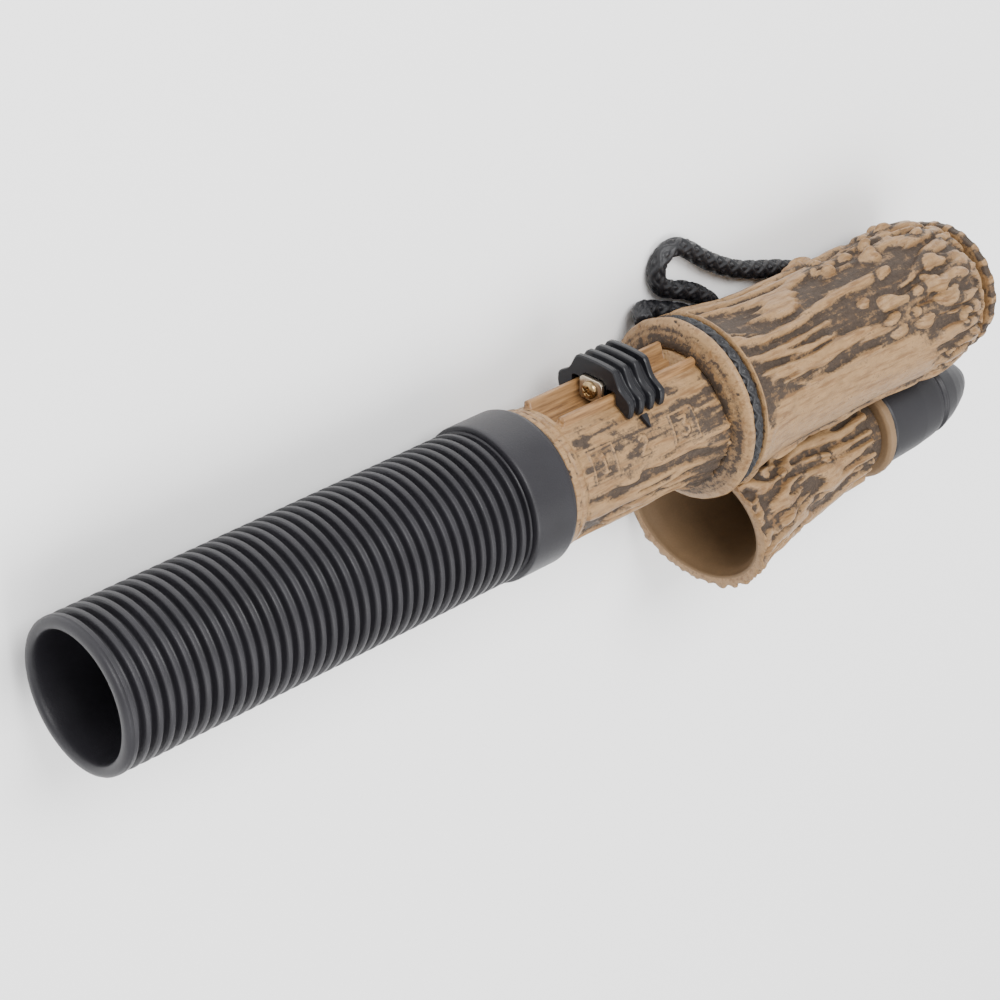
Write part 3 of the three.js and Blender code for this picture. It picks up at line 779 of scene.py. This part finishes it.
def knobs(s, a, radius, seed, count, spans):
    """Beads scattered over a stretch of a round body, and the dark rim round each."""
    draw = np.random.RandomState(seed)
    (s0, s1), (a0, a1), (size0, size1) = spans
    total, rim = np.zeros_like(s), np.zeros_like(s)
    y, z = radius * np.cos(a), radius * np.sin(a)
    sway, shove = (1.1 * FINE(s / 5 + k, y / 5, z / 5) for k in (0, 9))
    for _ in range(count):
        at, turn = draw.uniform(s0, s1), math.radians(draw.uniform(a0, a1))
        size, stretch = draw.uniform(size0, size1), draw.uniform(1, 2.6)
        lean = draw.uniform(-0.6, 0.6)
        across = signed_angle(a - turn) * radius + sway
        ahead = (s - at) + lean * across + shove
        near = np.hypot(ahead / stretch, across) / size
        total = np.maximum(total, size * np.clip(1 - near ** 2, 0, 1) ** 0.95)
        rim = np.maximum(rim, 1 - fade(1.0, 2.3, near))
    return total, rim * (1 - fade(0.1, 0.5, total))


def between(low, high, x, ease_low, ease_high):
    """1 from low to high, with the two edges eased inside them."""
    return fade(low, low + ease_low, x) * (1 - fade(high - ease_high, high, x))


def flange_look(s, y, z, r):
    """The flange's relief and dark paint: a crest with dark pits round a ringed funnel covered in
    painted shade, deepest in its inner corner.
    """
    crest = fade(18.6, 19.8, r) * (1 - fade(GROOVE_FROM - 0.4, GROOVE_FROM, s))
    pit = crest * fade(0.6, 0.72, FINE(s / 1.3, y / 1.9, z / 1.9))
    funnel = (1 - fade(GROOVE_FROM - 0.5, GROOVE_FROM + 0.1, s)) * (1 - crest)
    rings = FINE(s / 0.45, y / 14, z / 14)
    rise = crest * 0.2 * FINE(s / 4, y / 3.2, z / 3.2) + funnel * 0.06 * rings - 0.35 * pit
    # Painted shade: the funnel's face is painted dark with faint rings, darkest in its inner corner; the
    # crest's pits are dark as well.
    corner = funnel * (1 - fade(15.6, 18.6, r))
    wash_and_shade = np.maximum(pit, funnel * np.clip(0.6 + 0.6 * rings, 0.2, 0.9))
    return rise, np.maximum(wash_and_shade, corner)


def rear_lift(s, a, r):
    """Bark that turns to swirls and beads towards the mouth end, a smooth panel on the
    marked side with a ridge along its far edge, and the flange with the cord's groove."""
    turn = np.degrees(signed_angle(a))
    y, z = r * np.cos(a), r * np.sin(a)
    on = fade(SHELL_FROM, SHELL_FROM + 1.6, s)
    swirl = fade(204, 226, s)
    straight, swirled = bark(s, y, z, 30, 2.5), bark(s, y, z, 15, 2.7, 2.0)
    relief, crown = (one * (1 - swirl) + two * swirl for one, two in zip(straight, swirled))
    panel = (between(PANEL_LOW, PANEL_HIGH, turn, 4, 3)
             * fade(PANEL_FROM, PANEL_FROM + 5, s + 0.12 * (turn - PANEL_LOW))
             * (1 - fade(PANEL_TO - 9, PANEL_TO, s + 0.2 * (PANEL_HIGH - turn))))
    rough = on * (1 - panel)
    bumps, rims = np.max([knobs(s, a, *beads) for beads in SHELL_KNOBS], axis=0)
    rims = rims * rough * (bumps < 0.2)
    bumps = bumps * rough
    ridge = between(PANEL_HIGH - 2, PANEL_HIGH + 8, turn, 3, 5)
    up = rough * (relief + 0.5 * crown - 0.95) + bumps + 0.6 * ridge * on
    up = up + on * 0.07 * FINE(s / 3, y / 1.6, z / 1.6) - 0.3 * panel
    wash_and_shade = rough * (1 - relief) * (1 - fade(0.2, 0.6, bumps))
    wash_and_shade = np.maximum(wash_and_shade, 0.95 * rims)
    seam = np.abs(turn - PANEL_HIGH + 3) / 1.4
    wash_and_shade = np.maximum(wash_and_shade, on * 0.75 * (1 - fade(0.4, 1.0, seam)) * (s < 240))
    rise, flange_pits_and_shade = flange_look(s, y, z, r)
    # The cord's groove behind the flange is painted fully dark: painted shade under the cord.
    groove_shade = between(GROOVE_FROM - 0.3, GROOVE_TO + 0.3, s, 0.4, 0.4)
    wash_and_shade = np.maximum(np.maximum(wash_and_shade, flange_pits_and_shade), groove_shade)
    return r + up + rise, np.clip(wash_and_shade, 0, 1)


def rear_place(s, y, z):
    y = np.where(y < 0, y * table(CHAMBER_SIDE, s), y)
    return s, y, np.where(z < 0, z * table(UNDERSIDE, s), z)


def rear_barrel():
    flange = dense([(160.0, 14.9), (160.0, 15.9), (160.35, 17.4), (160.8, 18.6), (161.2, 19.6),
                    (161.8, 20.5), (162.4, 20.8), (163.1, 20.6), (163.4, 19.9), (163.5, 16.7),
                    (167.0, 16.7), (167.15, 19.6), (167.4, 20.2)], 0.16, 2)
    shell = curve_through(SHELL_OUTLINE, 0.32)
    outer = np.concatenate([flange, shell[1:]])
    inner = dense([(SHELL_TO, 12.7), (236, 12.7), (236, 11.5), (172.4, 11.5), (172.3, 14.5),
                   (160.1, 14.6)], 2.0, 0)
    body = revolve("bark_shell", outer, inner, BARK_LOOK, 448, rear_lift, rear_place)
    finish_piece(body, "call", ("rear_barrel",))


rear_barrel()


# -------- lower chamber
HALF_WIDTH = [(168, 21.2), (171, 19.6), (175, 18.2), (180, 16.9), (185, 15.5), (193, 14.0),
              (202, 12.7), (210, 11.6), (217.6, 11.5), (218.4, 9.8), (222, 9.6)]
HALF_HEIGHT = [(168, 15.5), (171, 15.3), (175, 15.1), (180, 14.8), (185, 14.3), (193, 13.5),
               (202, 12.5), (210, 11.6), (217.6, 11.4), (218.4, 9.8), (222, 9.6)]
CHAMBER_SIDES, CHAMBER_FROM, RECESS, CHAMBER_TO, SPIGOT_TO = 300, 168.0, 218.0, 222.0, 243.0
TAIL_RADIUS = 9.6
SPIGOT, TAIL_BORE = 8 / TAIL_RADIUS, 5.05 / TAIL_RADIUS
MOUTH_AXIS, TAIL_AXIS, MOUTH_DROP = -29.5, -28.0, 0.4
# The bore as a share of the outside, like every radius in this sub-part's outlines.
INSIDE = [(168.3, 0.855), (171, 0.825), (180, 0.79), (200, 0.74), (222, 0.6)]


def chamber_place(s, y, z):
    """Widen a body of radius 1 to the flared, flattened bell on its slightly slanting axis."""
    centre = table([(CHAMBER_FROM, MOUTH_AXIS), (CHAMBER_TO, TAIL_AXIS)], s)
    drop = MOUTH_DROP * (1 - fade(190, RECESS, s))
    return s, centre + y * table(HALF_HEIGHT, s), drop + z * table(HALF_WIDTH, s)


def chamber_lift(s, a, r):
    wide = table(HALF_WIDTH, s)
    y, z = wide * np.cos(a), wide * np.sin(a)
    relief, crown = bark(s, y + 60, z + 30, 24, 2.2)
    face = 1 - fade(CHAMBER_FROM + 0.05, CHAMBER_FROM + 0.5, s)
    tail = fade(RECESS, RECESS + 0.4, s)
    on = r > 0.99
    scallop = 1.1 * FINE(0.3, y / 1.9, z / 1.9) * (1 - fade(CHAMBER_FROM + 0.6, 172, s))
    bumps, rims = knobs(s, a, 13, 8, 14, ((176, 215), (-180, 180), (0.9, 1.6)))
    bumps, rims = bumps * (1 - tail), rims * (1 - tail)
    up = (0.9 * relief + 0.45 * crown - 0.85) * (1 - 0.7 * face) * (1 - tail)
    up = up + scallop + 0.6 * bumps
    wash_and_shade = (1 - relief) * (1 - face) * (1 - fade(0.2, 0.6, bumps))
    # The recess between the bell's bark and the tail ring is painted fully dark: painted shade in the
    # gap.
    wash_and_shade = np.maximum(np.maximum(wash_and_shade, 0.7 * rims), tail * (s < CHAMBER_TO + 0.2))
    return r + on * up / wide, np.clip(wash_and_shade, 0, 1) * on


def lower_chamber():
    lip = [(CHAMBER_FROM, share) for share in (0.88, 0.92, 0.97)] + [(168.15, 1.0)]
    bell = [(s, 1.0) for s in np.arange(168.5, CHAMBER_TO, 0.32)]
    spigot = [(CHAMBER_TO, 0.99), (222.1, 0.86), (222.4, SPIGOT)]
    spigot += [(s, SPIGOT) for s in np.arange(224, SPIGOT_TO, 1.0)] + [(242.8, SPIGOT), (SPIGOT_TO, 0.8)]
    outer = np.array(lip + bell + spigot)
    inner = np.array([(SPIGOT_TO, TAIL_BORE), (CHAMBER_TO, TAIL_BORE)]
                     + [(s, table(INSIDE, s)) for s in np.arange(219, 168.6, -1.2)]
                     + [(168.3, 0.85), (168.05, 0.865)])
    body = revolve("bell_chamber", outer, inner, BARK_LOOK, CHAMBER_SIDES, chamber_lift,
                   chamber_place)
    body.data.materials.append(SMOOTH_LOOK)
    inside = np.zeros(len(body.data.polygons), np.int32)
    inside[CHAMBER_SIDES * (len(outer) - 1):] = 1
    body.data.polygons.foreach_set("material_index", inside)
    finish_piece(body, "call", ("lower_chamber",))


def round_piece(name, outline, inner, look, body, node, sides, lift=None, axis=0.0):
    """A revolved piece for one CAD node, with its axis at the given y."""
    def place(s, y, z):
        return s, y + axis, z
    thing = revolve(name, dense(outline, 0.2, 2), dense(inner, 1.0, 0), look, sides, lift, place)
    return finish_piece(thing, body, (node,))


def ring_lift(s, a, r):
    wave = FINE(s / 2, 6 * np.cos(a), 6 * np.sin(a))
    return r + 0.15 * wave - 0.1, np.clip(fade(0.1, 0.5, wave) * 0.5, 0, 1)


BURR_LOBES, BURR_FROM = 21, SHELL_TO


def burr_lift(s, a, r):
    """The burr round the blow end: short tan lobes with dark clefts between them."""
    sway = 0.9 * FINE(2.5, 2.2 * np.cos(a), 2.2 * np.sin(a))
    lobes = np.cos(BURR_LOBES * (a + 0.12 * sway)) + 0.8 * FINE(s / 2, 7 * np.cos(a), 7 * np.sin(a))
    on = between(BURR_FROM, BURR_FROM + 4.4, s, 0.5, 1.6)
    up = on * (0.3 * fade(-0.5, 0.6, lobes) - 0.25 + 0.35 * sway)
    return r + up, on * fade(0.95, 0.1, lobes)


def mouthpiece():
    outline = [(238, 7.2), (238, 11.6), (238.8, 12.2), (250.5, 12.2), (250.6, 15.0), (250.9, 15.9),
               (252.6, 15.9), (253.1, 15.0), (253.9, 13.6), (255.2, 12.2), (255.8, 10.2), (256, 8.6),
               (255.8, 7.4)]
    inner = [(255.2, 6.7), (254, 6.5), (238.2, 6.5)]
    round_piece("mouth_burr", outline, inner, BARK_LOOK, "mouthpiece", "mouthpiece",
                256, burr_lift)


def chamber_ring():
    outline = [(222.5, 9), (222.5, 11.2), (223.0, 12.0), (224.4, 12.1), (225.2, 11.6), (225.4, 11)]
    inner = [(225.4, 8.4), (222.5, 8.4)]
    round_piece("tail_ring", outline, inner, SMOOTH_LOOK, "call", "chamber_ring",
                160, ring_lift, TAIL_AXIS)


def chamber_cap():
    outline = [(225.8, 9.2), (225.9, 10.5), (226.6, 10.95), (230, 10.8), (238, 10.5), (244, 9.9),
               (245.4, 9.65), (246.1, 9.0), (246.7, 9.0), (247.4, 9.55), (248.2, 9.35),
               (250, 8.85), (252, 8.3), (255, 7.1), (258, 5.7), (260.2, 4.3), (261.5, 3.2),
               (262, 2.7), (261.9, 2.3)]
    inner = [(261, 2.2), (252, 2.2), (250, 5), (243.4, 5), (243.3, 8.3), (226, 8.3)]
    round_piece("rubber_cap", outline, inner, CAP_LOOK, "cap", "chamber_cap",
                128, axis=TAIL_AXIS)


lower_chamber()
mouthpiece()
chamber_ring()
chamber_cap()


# -------- thumb slide
SLIDE_FRONT, SLIDE_BACK, FINS, FIN = 134.4, 145.0, 4, 1.35
RAIL_CLEAR, SIDE_CLEAR, TONGUE, UNDER = 16.45, 6.4, 3.3, 15.25
FIN_DEPTH, FIN_SLOPE, FIN_ROUND, EDGE_ROUND = 1.25, 0.22, 0.14, 0.2


def saddle_section(inset):
    """The saddle's outline in y and z at one station, set in where there is no fin."""
    def under(z):
        return math.sqrt(UNDER ** 2 - z * z), z
    half = [(21.5 - inset, 0), (21.35 - inset, 3.5 - inset * 0.3), (21.0 - inset, 5.5 - inset * 0.6),
            (17.2, 7.3 - inset * 0.6), (15.5 - inset * 0.4, 10.4 - inset), (13.6, 10.7 - inset),
            under(10.2 - inset), under(8.2), under(SIDE_CLEAR), (RAIL_CLEAR, SIDE_CLEAR),
            (RAIL_CLEAR, TONGUE), (12.45, TONGUE)]
    return half + [(y, -z) for y, z in half[:0:-1]]


def eased_loop(points, per_side=5, soften=2):
    """A closed outline with more points on each side and its corners eased."""
    p = np.asarray(points, float)
    out = []
    for a, b in zip(p, np.roll(p, -1, 0)):
        out.extend(a + (b - a) * t for t in np.arange(per_side) / per_side)
    out = np.array(out)
    for _ in range(soften):
        out = (np.roll(out, 1, 0) + 2 * out + np.roll(out, -1, 0)) / 4
    return out


def saddle():
    pitch = (SLIDE_BACK - SLIDE_FRONT - FIN) / (FINS - 1)
    s = np.concatenate([[SLIDE_FRONT, SLIDE_FRONT + 0.02],
                        np.arange(SLIDE_FRONT + 0.1, SLIDE_BACK - 0.05, 0.1),
                        [SLIDE_BACK - 0.02, SLIDE_BACK]])
    into = (s - SLIDE_FRONT) % pitch
    gap = between(FIN, pitch, into, FIN_SLOPE, FIN_SLOPE)
    edge = fade(FIN_SLOPE, 0, np.minimum(s - SLIDE_FRONT, SLIDE_BACK - s))
    corner = fade(0.25, 0, np.minimum(into, np.abs(into - FIN)))
    inset = FIN_DEPTH * gap + EDGE_ROUND * edge + FIN_ROUND * corner * (1 - gap)
    rings = [eased_loop(saddle_section(float(i))) for i in inset]
    n, m = len(rings), len(rings[0])
    verts = np.concatenate([np.column_stack([np.full(m, at), loop]) for at, loop in zip(s, rings)])
    caps = [np.arange(m)[None, :], (np.arange(m)[::-1] + (n - 1) * m)[None, :]]
    body = add_mesh("finned_saddle", row(verts), [ring_faces(n, m, False)] + caps, SLIDE_LOOK)
    notch(body)
    finish_piece(body, "slide", ("slide_saddle",))


def prism(name, outline, from_s, to_s, material, bevel):
    """A straight solid with a bevelled outline given in y and z."""
    m = len(outline)
    ends = [np.column_stack([np.full(m, at), outline]) for at in (from_s, to_s)]
    j = np.arange(m)
    sides = np.stack([j, (j + 1) % m, (j + 1) % m + m, j + m], -1)
    thing = add_mesh(name, row(np.concatenate(ends)), [sides, j[::-1][None, :], (j + m)[None, :]],
                     material, smooth=False)
    outward(thing)
    if bevel:
        rounded = thing.modifiers.new("bevel", "BEVEL")
        rounded.width, rounded.segments = bevel * MM, 3
        rounded.limit_method = "ANGLE"
        apply_modifiers(thing)
    thing.data.polygons.foreach_set("use_smooth", np.ones(len(thing.data.polygons), bool))
    thing.data.set_sharp_from_angle(angle=math.radians(38))
    return thing


def apply_modifiers(thing):
    graph = bpy.context.evaluated_depsgraph_get()
    graph.update()
    mesh = bpy.data.meshes.new_from_object(thing.evaluated_get(graph))
    thing.modifiers.clear()
    thing.data = mesh


def notch(body):
    """Cut the pocket in the saddle's front face that the clamp plate sits in."""
    cutter = prism("cutter", [(12.0, -3.55), (17.0, -3.55), (17.9, -2.5), (17.9, 2.5), (17.0, 3.55),
                              (12.0, 3.55)], SLIDE_FRONT - 1, SLIDE_FRONT + 0.45, SLIDE_LOOK, 0)
    cut = body.modifiers.new("notch", "BOOLEAN")
    cut.operation, cut.object, cut.solver = "DIFFERENCE", cutter, "EXACT"
    apply_modifiers(body)
    bpy.data.objects.remove(cutter)
    body.data.set_sharp_from_angle(angle=math.radians(50))


POINTER_AT, POINTER_ANGLE, POINTER_REACH, POINTER_RADIUS = 138.6, math.radians(42), 3.0, 15.3


def pointer():
    """The small tongue on the saddle's wing that points at a numeral."""
    t = np.linspace(0, 1, 26)
    half = 0.85 * np.sqrt(np.clip(1 - t, 0, 1)) * (0.55 + 0.45 * np.cos(2.2 * (t - 0.25)))
    a = POINTER_ANGLE + t * POINTER_REACH / (POINTER_RADIUS - 0.1)
    verts = []
    for r in (POINTER_RADIUS + 0.55, POINTER_RADIUS - 0.25):
        for side in (1, -1):
            verts.append(np.stack([POINTER_AT + side * half, r * np.cos(a), r * np.sin(a)], -1))
    n = len(t)
    j = np.arange(n - 1)
    bands = [(0, 1), (1, 3), (3, 2), (2, 0)]
    faces = [np.stack([a * n + j, a * n + j + 1, b * n + j + 1, b * n + j], -1) for a, b in bands]
    ends = np.array([[0, n, 3 * n, 2 * n], [n - 1, 2 * n - 1, 4 * n - 1, 3 * n - 1]])
    body = add_mesh("slide_pointer", row(np.concatenate(verts)), faces + [ends], SLIDE_LOOK,
                    smooth=False)
    finish_piece(body, "slide")


SCREW_HEIGHT, SCREW_RADIUS, SCREW_RISE, RECESS_DEPTH, SCREW_TURN = 15.2, 2.0, 1.15, 0.62, 0.45
PLATE_FRONT, PLATE_BACK = 133.4, 134.1


def plate():
    outline = [(12.5, -2.5), (12.5, 2.5), (13.2, 3.15), (17.0, 3.15), (17.65, 2.4), (17.65, -2.4),
               (17.0, -3.15), (13.2, -3.15)]
    thing = prism("clamp_plate", outline, PLATE_FRONT, PLATE_BACK + 0.35, NICKEL_LOOK, 0.14)
    finish_piece(thing, "slide", ("slide_plate",))


def screw():
    """A pan head with a cross recess, as a height map over a disc."""
    rings, sides = 30, 96
    rho = np.linspace(0, 1, rings)[1:, None] * np.ones(sides)
    a = np.arange(sides)[None, :] * math.tau / sides
    u, v = SCREW_RADIUS * rho * np.cos(a), SCREW_RADIUS * rho * np.sin(a)
    y = SCREW_RADIUS * rho * np.cos(a + SCREW_TURN)
    z = SCREW_RADIUS * rho * np.sin(a + SCREW_TURN)

    def bar(along, across):
        return (1 - fade(0.2, 0.34, np.abs(across))) * (1 - fade(0.95, 1.2, np.abs(along)))
    rise = SCREW_RISE * np.sqrt(np.clip(1 - rho ** 3.2 * 0.96, 0, 1))
    rise = rise - RECESS_DEPTH * np.maximum(bar(v, u), bar(u, v))
    base = PLATE_FRONT - 0.12
    top = np.stack([base - rise, SCREW_HEIGHT + y, z], -1).reshape(-1, 3)
    n = rings - 1
    skirt = top[-sides:].copy()
    skirt[:, 0] = base
    middle = [[base - SCREW_RISE + RECESS_DEPTH, SCREW_HEIGHT, 0]]
    verts = np.concatenate([middle, top, skirt, [[base, SCREW_HEIGHT, 0]]])
    j = np.arange(sides)
    fan = np.stack([np.zeros(sides, int), 1 + j, 1 + (j + 1) % sides], -1)
    grid = ring_faces(n + 1, sides, False) + 1
    back = np.stack([1 + n * sides + (j + 1) % sides, 1 + n * sides + j,
                     np.full(sides, len(verts) - 1)], -1)
    thing = add_mesh("pan_screw", row(verts), [fan, grid, back], BRASS_LOOK)
    thing.data.set_sharp_from_angle(angle=math.radians(55))
    finish_piece(thing, "slide", ("slide_screw",))


saddle()
pointer()
plate()
screw()


# -------- carried-over inner pieces
CARRIED = {"mouthpiece_o_ring": CAP_LOOK, "tone_board_o_ring": CAP_LOOK, "tone_board": INNER_LOOK,
           "reed": FILM_LOOK, "reed_wedge": INNER_LOOK, "slide_nut": BRASS_LOOK,
           "reed_runner": INNER_LOOK, "reed_pad": CAP_LOOK, "air_jet": INNER_LOOK}
for node, look in CARRIED.items():
    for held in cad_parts[node].material_slots:
        held.material = look


# -------- stage
def stage():
    sheet = bpy.data.meshes.new("floor")
    half = 2.0
    corners = [(-half, -half, 0), (half, -half, 0), (half, half, 0), (-half, half, 0)]
    sheet.from_pydata(corners, [], [(0, 1, 2, 3)])
    n = Nodes("pale_floor")
    sheet.materials.append(n.set(colour=(0.97, 0.97, 0.97), roughness=0.8, specular=0.1))
    floor = bpy.data.objects.new("floor", sheet)
    bpy.context.collection.objects.link(floor)
    world = bpy.data.worlds.new("studio")
    world.use_nodes = True
    background = world.node_tree.nodes["Background"]
    background.inputs["Color"].default_value = (1, 1, 1, 1)
    background.inputs["Strength"].default_value = 1.2
    bpy.context.scene.world = world


def soft_box(name, place, size, power):
    """A rectangular lamp of the given size that faces the middle of the object."""
    data = bpy.data.lights.new(name, "AREA")
    data.shape, data.size, data.size_y, data.energy = "RECTANGLE", size[0], size[1], power
    lamp = bpy.data.objects.new(name, data)
    lamp.location = place
    lamp.rotation_euler = (-Vector(place)).to_track_quat("-Z", "Y").to_euler()
    bpy.context.collection.objects.link(lamp)


stage()
soft_box("key_light", (-0.15, 0.85, 0.9), (0.7, 0.5), 19.0)
soft_box("top_light", (0.1, -0.3, 1.2), (0.9, 0.9), 13.0)
soft_box("side_light", (-0.9, -0.5, 0.6), (0.6, 0.6), 3.0)
